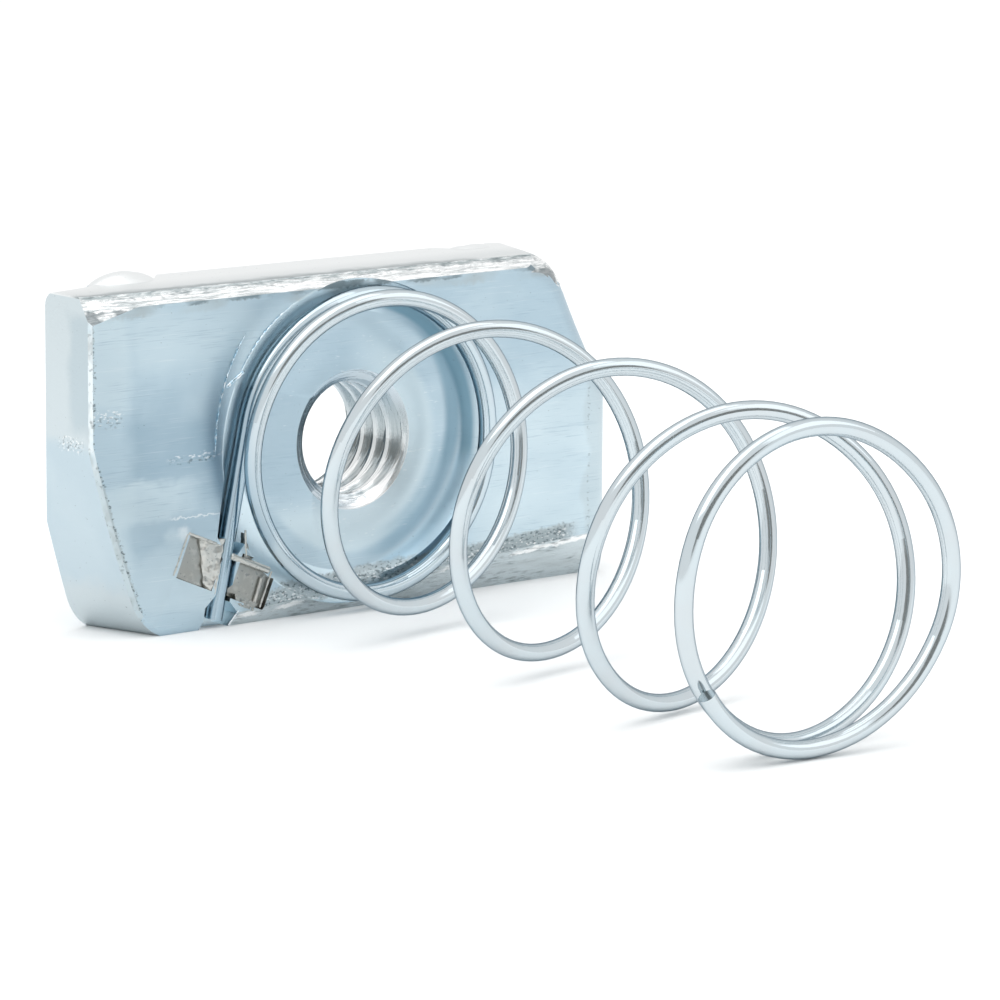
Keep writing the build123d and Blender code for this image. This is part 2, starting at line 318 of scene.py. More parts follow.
def rolled_face_material(colours):
    """Bright zinc with a blue passivate film on rolled strip.

    Gives a satin metal, pale blue and cloudy, with fine drawing marks along the nut, scuffs where
    strip rubbed on strip, painted shade and a painted blue reflection in the seat, painted glints
    along the rolled bottom edge, a painted highlight on metal raised by a staking mark, and a pale
    film on the sunk track that its own shade makes deeper blue.
    """
    material, tree, output = new_material("zinc_plated_rolled_strip")
    mm, at = millimetres(tree)
    _, wavy = millimetres(tree, waves=2.6, wave_size=3.0)
    _, ragged = millimetres(tree, waves=0.5, wave_size=0.35)
    c = colours
    x, z = at["X"], at["Z"]
    from_axis = radius(tree, at)
    from_track = radius(tree, at, (-0.3, 0.0))
    # The seat's wall leans, so its band of painted shade runs round a centre a little up and to the left.
    from_wall = radius(tree, at, (-0.4, 0.7))
    clouds = specks(tree, mm, (6.0, 6.0, 3.5), 0.40, 0.68)
    clouds_thin = specks(tree, mm, (5.0, 5.0, 3.0), 0.46, 0.72, offset=17.0)
    patches = specks(tree, mm, (4.0, 4.0, 2.0), 0.42, 0.60, offset=31.0)
    # Real drawing marks are some 0.02 mm wide; here they are 0.06 mm, the finest that shows.
    marks = specks(tree, mm, (1.8, 1.0, 0.06), 0.56, 0.72)
    marks_light = specks(tree, mm, (2.6, 1.0, 0.07), 0.60, 0.78, offset=9.0)
    grains = specks(tree, mm, (0.24, 0.24, 0.14), 0.54, 0.64)
    sparks = specks(tree, mm, (0.26, 0.24, 0.12), 0.56, 0.66, offset=5.0)
    # Height above the line where the rolled-over bottom edge begins.
    above_roll = beyond_line(tree, ragged["Z"], ragged["X"], ROLL_SLOPE, ROLL_HEIGHT)
    # Distance from the sheared left edge.
    lean = add(
        tree, "ShaderNodeMath", {0: ragged["Z"], 1: -SHEAR_LEAN, 2: SHEAR_LEAN}, operation="MULTIPLY_ADD"
    )
    lean = add(tree, "ShaderNodeMath", {0: lean, 1: 0.0}, operation="MAXIMUM")
    from_left = add(tree, "ShaderNodeMath", {0: ragged["X"], 1: lean}, operation="SUBTRACT")
    floor_of_seat = zone(tree, from_axis, 0.0, 6.7, 0.3)
    seat = zone(tree, from_axis, 0.0, 8.9, 0.1)
    track = zone(tree, from_track, 7.7, 9.72, 0.05)
    left = zone(tree, wavy["X"], -16.6, -8.0, 0.8)
    right = zone(tree, x, 1.5, 30.0, 1.8)
    wall_shade_band = zone(tree, from_wall, 7.35, 8.3, 0.3)
    along_roll = zone(tree, x, -8.0, 15.9, 0.8)
    by_tail = zone(tree, wavy["X"], -14.0, -10.3, 0.4)
    by_edge = zone(tree, wavy["X"], -19.2, -17.2, 0.3)
    face = coats(
        tree, c.film,
        # The flat face: cloudy, deepest blue half way up on the left, palest on the lower right.
        (c.film_thin, 0.75, zone(tree, wavy["X"], 8.0, 30.0, 1.5), zone(tree, wavy["Z"], -12.0, 2.2, 1.2)),
        (c.film_deep_and_shade, 0.35, zone(tree, wavy["X"], 3.0, 30.0, 1.5), zone(tree, wavy["Z"], 3.2, 12.0, 1.0)),
        (c.film_deep_and_shade, 0.85, left, zone(tree, wavy["Z"], -1.4, 3.6, 1.5)),
        (c.film_deep_and_shade, 0.35, left, zone(tree, wavy["Z"], -5.2, -1.4, 0.6)),
        (c.film_thin, 0.5, left, zone(tree, wavy["Z"], 5.6, 9.0, 1.0)),
        (c.film_thin, 0.75, zone(tree, wavy["X"], -17.0, -12.4, 0.8),
         zone(tree, wavy["Z"], -3.0, -1.0, 0.3)),
        (c.film_thin, 0.5, zone(tree, wavy["X"], -18.0, -9.0, 0.8), zone(tree, wavy["Z"], -8.6, -5.2, 0.6)),
        (c.film_thin, 0.8, zone(tree, wavy["X"], -30.0, -16.8, 0.5), zone(tree, wavy["Z"], 3.4, 9.0, 0.7)),
        (c.film_thin, 0.8, zone(tree, wavy["X"], -30.0, -16.4, 0.5),
         zone(tree, wavy["Z"], -12.0, -1.0, 0.7)),
        (c.film_deep_and_shade, 0.22, clouds),
        (c.film_thin, 0.25, clouds_thin),
        (c.film_deep_and_shade, 0.55, marks, patches),
        (c.zinc_bright_and_highlight, 0.16, marks_light),
        (c.zinc_bright_and_highlight, 0.55, zone(tree, ragged["X"], -13.6, -10.2, 0.5),
         zone(tree, ragged["Z"], -3.26, -3.18, 0.04)),
        # The seat: floor deeper blue on the left and paler on the right and below; painted shade in the
        # band where its wall leans in, in the corner under the first turn, faintly on the wall's lower
        # right, and on the upper right of its rim; a painted blue reflection in a crescent at the lower
        # right; the rim paler blue below.
        (c.film_deep_and_shade, 0.42, floor_of_seat, zone(tree, x, -9.0, 0.0, 1.0), zone(tree, z, -3.0, 9.0, 1.0)),
        (c.film_thin, 0.85, zone(tree, from_axis, 0.0, 5.9, 0.4), right, zone(tree, z, -9.0, 5.5, 1.5)),
        (c.film_thin, 0.9, floor_of_seat, zone(tree, z, -9.0, -3.8, 0.8), zone(tree, x, -9.0, 3.0, 1.5)),
        # Painted shade on the leaning wall's band, deepest in the corner under the first turn.
        (c.film_deep_and_shade, 0.9, wall_shade_band, right, seat),
        (c.film_pooled_and_shade, 0.55, wall_shade_band, right, zone(tree, z, -1.6, 6.0, 1.4), seat),
        (c.film_pooled_and_shade, 0.32, zone(tree, from_wall, 6.6, 8.2, 0.4), right,
         zone(tree, z, -9.0, -0.8, 1.0), seat),
        # Painted reflection: a deep blue crescent at the lower right of the wall.
        (c.film_blue_and_reflection, 0.9, zone(tree, from_wall, 8.4, 9.1, 0.2), right,
         zone(tree, z, -8.0, -1.2, 0.8), seat),
        # Painted shade on the upper right of the rim; below, the rim is painted paler blue.
        (c.film_pooled_and_shade, 0.9, zone(tree, from_axis, 7.95, 8.6, 0.15), zone(tree, z, -2.0, 9.0, 1.2), right),
        (c.film_blue_and_reflection, 0.6, zone(tree, from_axis, 7.95, 8.9, 0.15), zone(tree, z, -9.0, -2.5, 1.2)),
        (c.zinc_bright_and_highlight, 0.25, floor_of_seat, specks(tree, mm, (0.6, 0.6, 0.15), 0.66, 0.74, offset=13.0)),
        (c.film_sunk, 1.0, track, zone(tree, x, -30.0, 1.5, 1.0)),
        # Torn and rolled borders of the face, with painted glints along the rolled bottom edge.
        (c.torn, 0.7, zone(tree, ragged["Z"], 8.7, 9.4, 0.2), patches),
        (c.pits, 0.6, zone(tree, ragged["Z"], 9.1, 9.5, 0.06), zone(tree, ragged["X"], -16.5, 30.0, 0.5),
         specks(tree, mm, (1.6, 1.0, 1.0), 0.42, 0.58)),
        (c.torn, 0.75, zone(tree, above_roll, -0.5, 0.9, 0.15), along_roll),
        (c.pits, 0.3, zone(tree, above_roll, -0.5, 0.75, 0.2), zone(tree, x, 6.5, 15.9, 0.8)),
        (c.pits, 0.75, zone(tree, above_roll, -0.5, 0.9, 0.2), along_roll, grains),
        (c.zinc_bright_and_highlight, 0.6, zone(tree, above_roll, -0.5, 0.6, 0.15), along_roll, sparks),
        (c.torn, 0.22, zone(tree, wavy["X"], 17.0, 30.0, 0.25)),
        (c.pits, 0.4, zone(tree, ragged["X"], 17.15, 17.35, 0.06), grains),
        (c.torn, 0.6, zone(tree, from_left, -19.6, -18.95, 0.08)),
        (c.pits, 0.75, zone(tree, from_left, -19.6, -18.85, 0.08), grains),
        # Scuffs, one beside the tail and one at the left edge, and metal raised by a staking mark, with a
        # painted highlight on it.
        (c.pits, 0.6, by_tail, zone(tree, ragged["Z"], -0.05, 0.25, 0.1), grains),
        (c.zinc_bright_and_highlight, 0.6, by_tail, zone(tree, ragged["Z"], 0.1, 0.5, 0.1), sparks),
        (c.pits, 0.5, by_edge, zone(tree, ragged["Z"], 2.5, 3.2, 0.15), grains),
        (c.zinc_bright_and_highlight, 0.6, by_edge, zone(tree, ragged["Z"], 2.7, 3.5, 0.2), sparks),
        (c.zinc_bright_and_highlight, 0.75, zone(tree, radius(tree, ragged, (-12.75, -4.15)), 0.0, 0.3, 0.35)),
        (c.film_thin, 0.8, zone(tree, radius(tree, wavy, (-13.2, -4.5)), 0.0, 0.5, 0.5)),
        (c.pits, 0.5, specks(tree, mm, (0.2, 0.2, 0.14), 0.72, 0.76, offset=3.0)),
    )
    plated(tree, output, face, 0.32, marks, 0.005)
    return material


def toothed_face_material(colours):
    """Bright zinc with a thin blue film on the toothed side; gives a pale, even, satin blue."""
    material, tree, output = new_material("zinc_plated_toothed_face")
    mm, _ = millimetres(tree)
    clouds = specks(tree, mm, (6.0, 6.0, 3.5), 0.40, 0.68)
    # Real drawing marks are some 0.02 mm wide; here they are 0.06 mm, the finest that shows.
    marks = specks(tree, mm, (1.8, 1.0, 0.06), 0.56, 0.72)
    face = coats(
        tree, colours.film,
        (colours.film_thin, 0.6, clouds),
        (colours.film_deep_and_shade, 0.25, marks),
    )
    plated(tree, output, face, 0.32, marks, 0.005)
    return material


def ridge_film_material(colours):
    """Burr of plated metal scraped up beside the track; gives painted pale cyan glints on darker blue."""
    material, tree, output = new_material("zinc_plated_burr")
    mm, _ = millimetres(tree)
    glints = specks(tree, mm, (0.3, 0.3, 0.3), 0.44, 0.58)
    burr = coats(
        tree, colours.film_blue_and_reflection,
        (colours.zinc_bright_and_highlight, 0.8, glints),
        (colours.film_pooled_and_shade, 0.5, specks(tree, mm, (0.35, 0.35, 0.35), 0.54, 0.64, offset=8.0)),
    )
    plated(tree, output, burr, 0.25, glints, 0.02)
    return material


def side_material(colours):
    """Bright zinc on sheared and drawn sides.

    Gives a pale smooth metal, greyer and grained towards the edges that the shear dragged over, and a top
    side painted near white as a painted highlight.
    """
    material, tree, output = new_material("zinc_plated_sheared_side")
    mm, at = millimetres(tree)
    _, wavy = millimetres(tree, waves=1.6, wave_size=1.8)
    _, ragged = millimetres(tree, waves=0.6, wave_size=0.4)
    c = colours
    grains = specks(tree, mm, (1.4, 0.3, 0.2), 0.46, 0.66)
    on_top = zone(tree, at["Z"], 9.9, 20.0, 0.02)
    at_end = zone(tree, at["X"], -30.0, -14.5, 0.5)
    front = zone(tree, wavy["Y"], -8.0, -4.3, 0.5)
    clouds = specks(tree, mm, (4.0, 4.0, 4.0), 0.42, 0.62)
    side = coats(
        tree, c.zinc,
        (c.film, 0.5, at_end, zone(tree, wavy["Z"], -7.0, 1.4, 0.6)),
        (c.film_deep_and_shade, 0.12, at_end, zone(tree, wavy["Z"], -7.0, 1.4, 0.6), clouds),
        (c.torn, 0.45, at_end, zone(tree, wavy["Z"], 2.4, 9.0, 0.5), front),
        (c.film, 0.35, at_end, zone(tree, wavy["Z"], 2.4, 9.0, 0.5), front),
        # Painted highlight: the top side painted near white, toned a little grey.
        (c.zinc_bright_and_highlight, 1.0, on_top),
        (c.torn, 0.27, on_top),
        (c.torn, 0.3, on_top, zone(tree, at["Y"], -8.0, -3.4, 1.6)),
        (c.torn, 1.0, on_top, zone(tree, wavy["Y"], -8.0, -4.9, 0.7),
         zone(tree, wavy["X"], -30.0, 8.5, 1.5)),
        (c.pits, 0.25, on_top, zone(tree, wavy["Y"], -8.0, -5.1, 0.4),
         zone(tree, wavy["X"], -30.0, 8.0, 1.5)),
        (c.pits, 0.45, on_top, zone(tree, ragged["Y"], -8.0, -5.2, 0.4), grains,
         zone(tree, wavy["X"], -30.0, 9.0, 1.5)),
        (c.pits, 0.6, at_end, zone(tree, ragged["Z"], 1.1, 1.8, 0.2), zone(tree, at["Y"], -5.6, -3.3, 0.3),
         specks(tree, mm, (0.24, 0.24, 0.16), 0.54, 0.62)),
        (c.zinc_bright_and_highlight, 0.6, at_end, zone(tree, ragged["Z"], 1.0, 1.9, 0.2),
         zone(tree, at["Y"], -5.6, -3.3, 0.3),
         specks(tree, mm, (0.24, 0.24, 0.16), 0.56, 0.64, offset=4.0)),
        (c.pits, 0.5, specks(tree, mm, (0.2, 0.2, 0.16), 0.72, 0.76)),
    )
    plated(tree, output, side, 0.36, grains, 0.006)
    return material


def torn_edge_material(colours):
    """Bright zinc over edges that the shear rolled over and tore.

    Gives painted white glints broken by dark pits, in ragged bands along the edge; the upper band is
    painted near white, a painted highlight.
    """
    material, tree, output = new_material("zinc_plated_torn_edge")
    mm, at = millimetres(tree)
    _, ragged = millimetres(tree, waves=0.5, wave_size=0.5)
    c = colours
    grains = specks(tree, mm, (0.7, 0.25, 0.13), 0.48, 0.70)
    streaks = specks(tree, mm, (2.2, 0.3, 0.12), 0.44, 0.62, offset=19.0)
    sparks = specks(tree, mm, (1.0, 0.3, 0.12), 0.46, 0.70, offset=7.0)
    above_roll = beyond_line(tree, ragged["Z"], ragged["X"], ROLL_SLOPE, ROLL_HEIGHT)
    low = zone(tree, at["Z"], -12.0, -5.0, 0.2)
    high = zone(tree, at["Z"], 7.5, 12.0, 0.2)
    left = zone(tree, ragged["X"], -30.0, -7.0, 4.0)
    edge = coats(
        tree, c.zinc,
        (c.torn, 0.35, low, specks(tree, mm, (3.0, 1.0, 0.5), 0.42, 0.62)),
        (c.zinc_bright_and_highlight, 0.9, low, zone(tree, above_roll, -0.4, -0.12, 0.06),
         specks(tree, mm, (3.0, 3.0, 3.0), 0.42, 0.52, offset=8.0)),
        (c.pits, 0.65, low, grains, specks(tree, mm, (2.5, 1.0, 0.8), 0.46, 0.62, offset=11.0)),
        # Painted highlight: the upper band painted near white, with painted glints further up.
        (c.zinc_bright_and_highlight, 0.95, high),
        (c.torn, 0.4, high, streaks),
        (c.torn, 0.45, high, left, streaks),
        (c.torn, 0.45, high, left, sparks),
        (c.torn, 0.9, high, zone(tree, ragged["Z"], 9.78, 12.0, 0.10)),
        (c.pits, 0.6, high, zone(tree, ragged["Z"], 9.62, 12.0, 0.15), grains),
        (c.zinc_bright_and_highlight, 0.6, high, zone(tree, ragged["Z"], 9.7, 12.0, 0.15), sparks),
        (c.pits, 0.3, high, specks(tree, mm, (0.9, 0.3, 0.1), 0.58, 0.70, offset=2.0)),
        (c.torn, 0.6, high, streaks, zone(tree, ragged["Z"], 9.0, 9.4, 0.1)),
        (c.pits, 0.7, high, zone(tree, ragged["Z"], 8.0, 9.18, 0.05),
         specks(tree, mm, (1.2, 1.0, 1.0), 0.38, 0.50)),
    )
    plated(tree, output, edge, 0.24, sparks, 0.05)
    return material


def broken_edge_material(colours):
    """Zinc along a broken edge: a thin white line above, greyer and nicked below."""
    material, tree, output = new_material("burnished_zinc_edge")
    mm, at = millimetres(tree)
    nicks = specks(tree, mm, (0.3, 0.3, 0.3), 0.60, 0.68)
    edge = coats(
        tree, colours.film_thin,
        (colours.torn, 0.4, zone(tree, at["Z"], -12.0, 1.0, 1.2)),
        (colours.zinc_bright_and_highlight, 0.45, zone(tree, at["Z"], 0.5, 12.0, 1.5),
         specks(tree, mm, (1.5, 1.5, 1.5), 0.36, 0.50, offset=6.0)),
        (colours.torn, 0.6, specks(tree, mm, (0.6, 0.6, 1.2), 0.46, 0.62, offset=12.0)),
        (colours.pits, 0.4, nicks),
    )
    plated(tree, output, edge, 0.3, nicks, 0.02)
    return material


def slot_material(colours):
    """Zinc in the deep slot: painted shade where the slot gapes left of the tail, blue film on the right.
    """
    material, tree, output = new_material("zinc_plated_slot")
    mm, at = millimetres(tree)
    aside = beyond_line(tree, at["X"], at["Z"], TAIL_LEAN, TAIL_X)
    clouds = specks(tree, mm, (0.5, 0.5, 2.0), 0.40, 0.66)
    # Painted shade: the slot left of the tail is painted darker than the film on its right.
    slot = coats(
        tree, colours.slot,
        (colours.film_pooled_and_shade, 0.4, clouds),
        (colours.film_sunk, 0.95, zone(tree, aside, 0.1, 9.0, 0.15)),
        (colours.film_sunk, 0.95, zone(tree, at["Z"], -12.0, -7.8, 0.4)),
    )
    plated(tree, output, slot, 0.3, clouds, 0.02)
    return material


def struck_steel_material(colours, name, tint):
    """Bare steel where the square punch broke the plating; gives a warm grey with a dull shine."""
    material, tree, output = new_material(name)
    mm, _ = millimetres(tree)
    clouds = specks(tree, mm, (1.2, 1.2, 1.2), 0.35, 0.70)
    grain = specks(tree, mm, (0.25, 0.25, 0.25), 0.40, 0.70)
    steel = coats(
        tree, tint,
        (colours.torn, 0.35, clouds),
        (colours.steel_lip, 0.3, specks(tree, mm, (0.5, 0.5, 0.5), 0.52, 0.66, offset=4.0)),
        (colours.pits, 0.45, specks(tree, mm, (0.22, 0.22, 0.22), 0.62, 0.70)),
    )
    plated(tree, output, steel, 0.3, grain, 0.01)
    return material


def cut_thread_material(colours):
    """Zinc on a cut thread and its countersink; gives bright crests and dark flanks, in painted light and
    shade: painted shade on the flanks and on the left, top and right of the hole, the lower right painted
    bright.
    """
    material, tree, output = new_material("zinc_plated_cut_thread")
    mm, at = millimetres(tree)
    c = colours
    out = radius(tree, at)
    rings = specks(tree, mm, (2.0, 0.08, 2.0), 0.45, 0.65)
    thread = coats(
        # Painted highlight: the base is near white, and stays so on the crests and the lower right.
        tree, c.zinc_bright_and_highlight,
        # Painted shade on the thread's flanks inside the bore.
        (c.torn, 0.75, zone(tree, out, 3.42, 4.4, 0.06), zone(tree, at["Y"], -5.2, 1.0, 0.05)),
        # Painted shade on the left, the top and the right of the hole.
        (c.film_deep_and_shade, 0.6, zone(tree, at["X"], -9.0, -0.4, 1.6)),
        (c.film_deep_and_shade, 0.6, zone(tree, at["Z"], 0.5, 9.0, 1.2)),
        (c.torn, 0.6, zone(tree, at["X"], 2.0, 9.0, 1.0), zone(tree, at["Z"], -1.6, 2.0, 1.0)),
        (c.pits, 0.3, rings, zone(tree, at["Z"], -9.0, -1.0, 1.0)),
    )
    plated(tree, output, thread, 0.16, rings, 0.01)
    return material


def wire_material(colours):
    """Bright zinc plating on drawn spring wire: smooth and glossy, darker just inside its outline."""
    material, tree, output = new_material("zinc_plated_spring_wire")
    mm, at = millimetres(tree)
    clouds = specks(tree, mm, (3.0, 3.0, 3.0), 0.35, 0.65)
    # The wire near the nut, the tail and the first turn, is bluer, and the tail darker still.
    near = zone(tree, at["Y"], -8.6, 0.0, 0.8)
    wire = coats(
        tree, colours.wire,
        (colours.film_thin, 0.35, clouds),
        (colours.film, 0.45, near),
        (colours.film_deep_and_shade, 0.7, near, zone(tree, at["X"], -30.0, -7.6, 0.4),
         zone(tree, at["Z"], -30.0, 5.0, 1.5)),
    )
    shader = add(
        tree, "ShaderNodeBsdfPrincipled",
        {
            "Base Color": wire, "Metallic": 1.0, "Roughness": 0.13,
            "Specular Tint": (0.25, 0.3, 0.34, 1),
        },
    )
    tree.links.new(shader.outputs[0], output.inputs["Surface"])
    return material


def card_material(colours):
    """Matt grey card."""
    material, tree, output = new_material("grey_card")
    shader = add(tree, "ShaderNodeBsdfDiffuse", {"Color": list(colours.card) + [1]})
    tree.links.new(shader.outputs[0], output.inputs["Surface"])
    return material


def floor_material(colours):
    """Matt white studio paper."""
    material, tree, output = new_material("white_studio_paper")
    shader = add(tree, "ShaderNodeBsdfDiffuse", {"Color": list(colours.floor) + [1]})
    tree.links.new(shader.outputs[0], output.inputs["Surface"])
    return material


# ---- Pieces --------------------------------------------------------------------------------------
def thread_cutter(sizes):
    """A helical ridge of triangular section that cuts the M8 thread."""
    pitch, depth = sizes.thread_pitch, sizes.thread_major - sizes.thread_minor + 0.12 * MM
    bpy.ops.object.select_all(action="DESELECT")
    # An equal-sided triangle, one corner outwards, stands for the thread's 60 degree groove.
    bpy.ops.mesh.primitive_circle_add(
        vertices=3, radius=depth / 1.5, fill_type="NGON", rotation=(0, 0, -pi / 2),
        location=(sizes.thread_major - depth / 1.5, sizes.thread_start, 0),
    )
    cutter = bpy.context.object
    cutter.name = "thread_cutter"
    bpy.ops.object.transform_apply(location=True, rotation=True, scale=True)
    edit(cutter)
    bpy.ops.transform.resize(value=(1.0, 1.17, 1.0), center_override=(0, sizes.thread_start, 0))
    done()
    turn = cutter.modifiers.new("turns", "SCREW")
    turn.axis = "Y"
    turn.angle = 2 * pi * sizes.thread_turns
    turn.screw_offset = -pitch * sizes.thread_turns
    turn.steps = turn.render_steps = 40 * sizes.thread_turns
    turn.use_merge_vertices = False
    apply_modifiers(cutter)
    edit(cutter, select_all=False)
    bpy.ops.mesh.select_mode(type="EDGE")
    bpy.ops.mesh.select_non_manifold()
    bpy.ops.mesh.edge_face_add()
    bpy.ops.mesh.select_all(action="SELECT")
    bpy.ops.mesh.normals_make_consistent(inside=False)
    done()
    return cutter


# The staking punch's marks: centre X and Z, half size, turn in degrees (all in mm).
POCKETS = [(-11.51, -6.0), (-7.83, -7.56)]
POCKET_HALF, POCKET_TURN = 1.45, -23.0


def in_pocket(x, z):
    """True inside one of the two square punch marks."""
    a = radians(POCKET_TURN)
    for px, pz in POCKETS:
        u = (x - px) * cos(a) + (z - pz) * sin(a)
        v = -(x - px) * sin(a) + (z - pz) * cos(a)
        if max(abs(u), abs(v)) < POCKET_HALF:
            return True
    return False


def surface_kind(face):
    """Which finish a face of the nut has, from its place (mm) and normal."""
    x, y, z = face.center / MM
    n = face.normal
    out = (x * x + z * z) ** 0.5
    # Sideways distance from the line of the wire's tail.
    aside = x + TAIL_X - TAIL_LEAN * z
    if out < 4.5 and (out < 4.15 or abs(n.y) < 0.97):
        return "thread"
    if -6.38 < y < -5.3 and in_pocket(x, z):
        return "pocket" if n.y < -0.95 else "pocket_wall"
    # The slot: its walls, and its level floor, which lies deeper than the seat's tilted one.
    wall_or_floor = abs(n.y) < 0.5 or (y > -5.36 and abs(n.x) < 0.02)
    if -6.399 < y < -5.2 and -1.95 < aside < 1.4 and -10.1 < z < 4.7 and wall_or_floor:
        return "slot"
    # The broken edge on the left.
    if y < -5.2 and n.x < -0.5 and n.y < -0.4 and x < -13.5 and z < 8.6:
        return "broken"
    # The slopes torn along the top, then along the bottom.
    if y < -4.6 and n.y < -0.3 and n.z > 0.3 and z > 7.5 and out > 9.8:
        return "torn"
    if n.y < -0.25 and n.z < -0.3 and abs(n.x) < 0.3 and z < -6.5 and x > -9.0 and out > 9.8:
        return "torn"
    if z > 9.9 or (abs(n.y) < 0.5 and (z < -9.9 or abs(x) > 13.0)):
        return "side"
    return "toothed" if y > -4.0 else "face"


class SPRINGNUT_OT_nut(bpy.types.Operator):
    """Makes the nut's finished skin from its solid and cuts the thread"""

    bl_idname = "springnut.nut"
    bl_label = "Nut with thread"

    def execute(self, context):
        sizes, colours = context.scene.springnut_sizes, context.scene.springnut_colours
        nut = copy_of_node("nut_body", "plated_nut")
        cutter = thread_cutter(sizes)
        cut = nut.modifiers.new("thread", "BOOLEAN")
        cut.operation, cut.solver, cut.object = "DIFFERENCE", "EXACT", cutter
        apply_modifiers(nut)
        bpy.data.objects.remove(cutter)
        # The marks show shallower than the solid's, so their floors come up half way.
        edit_where(nut, lambda co: abs(co.y / MM + 5.6) < 0.02 and in_pocket(co.x / MM, co.z / MM))
        bpy.ops.transform.translate(value=(0, -0.4 * MM, 0))
        done()
        finishes = {
            "face": rolled_face_material(colours),
            "toothed": toothed_face_material(colours),
            "side": side_material(colours),
            "torn": torn_edge_material(colours),
            "broken": broken_edge_material(colours),
            "slot": slot_material(colours),
            "pocket": struck_steel_material(colours, "bare_struck_steel", colours.steel),
            # The walls take a darker copy of the struck steel, painted shade.
            "pocket_wall": struck_steel_material(colours, "bare_struck_steel_wall_shade", colours.steel_wall_shade),
            "thread": cut_thread_material(colours),
        }
        for finish in finishes.values():
            nut.data.materials.append(finish)
        order = list(finishes)
        for face in nut.data.polygons:
            face.material_index = order.index(surface_kind(face))
        only(nut)
        bpy.ops.object.shade_smooth_by_angle(angle=radians(32))
        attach(nut, "root")
        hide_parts("nut_body")
        return {"FINISHED"}


def roughen(piece, grain, height):
    """Breaks a smooth piece up into ragged metal: grain and height in mm."""
    noise = bpy.data.textures.new(piece.name, "CLOUDS")
    noise.noise_scale = grain * MM
    noise.noise_depth = 2
    rough = piece.modifiers.new("ragged", "DISPLACE")
    rough.texture = noise
    rough.texture_coords = "LOCAL"
    rough.strength = height * MM
    apply_modifiers(piece)
    edit(piece)
    bpy.ops.mesh.normals_make_consistent(inside=False)
    done()
    only(piece)
    bpy.ops.object.shade_smooth_by_angle(angle=radians(50))


def finish_burr(piece, finish):
    """Puts a burr's finish on it and makes it part of the nut."""
    piece.data.materials.clear()
    piece.data.materials.append(finish)
    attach(piece, "root")


def ridge(name, centre, reach, start, sweep, size, depth):
    """A burr along an arc on the spring face; angles run clockwise from the top, in mm."""
    a, face_y = radians(start), nut_box[0].y
    hub = Vector((centre[0] * MM, face_y, centre[1] * MM))
    begin = hub + Vector((sin(a), 0, cos(a))) * reach * MM
    bpy.ops.object.select_all(action="DESELECT")
    bpy.ops.mesh.primitive_circle_add(
        vertices=10, radius=size * MM, fill_type="NGON", location=begin, rotation=(0, a, 0)
    )
    burr = bpy.context.object
    burr.name = name
    bpy.ops.object.transform_apply(location=True, rotation=True, scale=True)
    edit(burr)
    bpy.ops.transform.resize(value=(1.0, depth / size, 1.0), center_override=begin)
    bpy.ops.mesh.spin(steps=int(abs(sweep) * 3), angle=-radians(sweep), center=hub, axis=(0, 1, 0))
    bpy.ops.mesh.select_all(action="SELECT")
    bpy.ops.mesh.remove_doubles(threshold=0.001 * MM)
    for turn in (0.0, radians(sweep)):
        tip = hub + Vector((sin(a + turn), 0, cos(a + turn))) * reach * MM
        edit_where(burr, lambda co: (co - tip).length < size * 1.02 * MM)
        bpy.ops.transform.resize(
            value=(0.2, 0.2, 0.2), center_override=tip, use_proportional_edit=True,
            proportional_edit_falloff="SMOOTH", proportional_size=1.2 * MM,
        )
    done()
    return burr


def roll(name, begin, end, size, depth, height=0.0):
    """A straight burr between two points (X, Z) on the spring face, in mm."""
    face_y = nut_box[0].y - height * MM
    begin, end = (Vector((p[0] * MM, face_y, p[1] * MM)) for p in (begin, end))
    along = end - begin
    bpy.ops.object.select_all(action="DESELECT")
    bpy.ops.mesh.primitive_cylinder_add(
        vertices=12, radius=size * MM, depth=along.length, location=(begin + end) / 2,
        rotation=(0, atan2(along.x, along.z), 0),
    )
    burr = bpy.context.object
    burr.name = name
    bpy.ops.object.transform_apply(location=True, rotation=True, scale=True)
    edit(burr, select_all=False)
    bpy.ops.mesh.select_mode(type="EDGE")
    done()
    for edge in burr.data.edges:
        a, b = (burr.data.vertices[i].co for i in edge.vertices)
        edge.select = (a - b).length > 0.9 * along.length
    bpy.ops.object.mode_set(mode="EDIT")
    bpy.ops.mesh.subdivide(number_cuts=24)
    bpy.ops.mesh.select_all(action="SELECT")
    bpy.ops.transform.resize(value=(1.0, depth / size, 1.0), center_override=begin)
    done()
    round_ends = burr.modifiers.new("round ends", "BEVEL")
    round_ends.width, round_ends.segments = 0.35 * size * MM, 2
    round_ends.limit_method, round_ends.angle_limit = "ANGLE", radians(50)
    apply_modifiers(burr)
    return burr


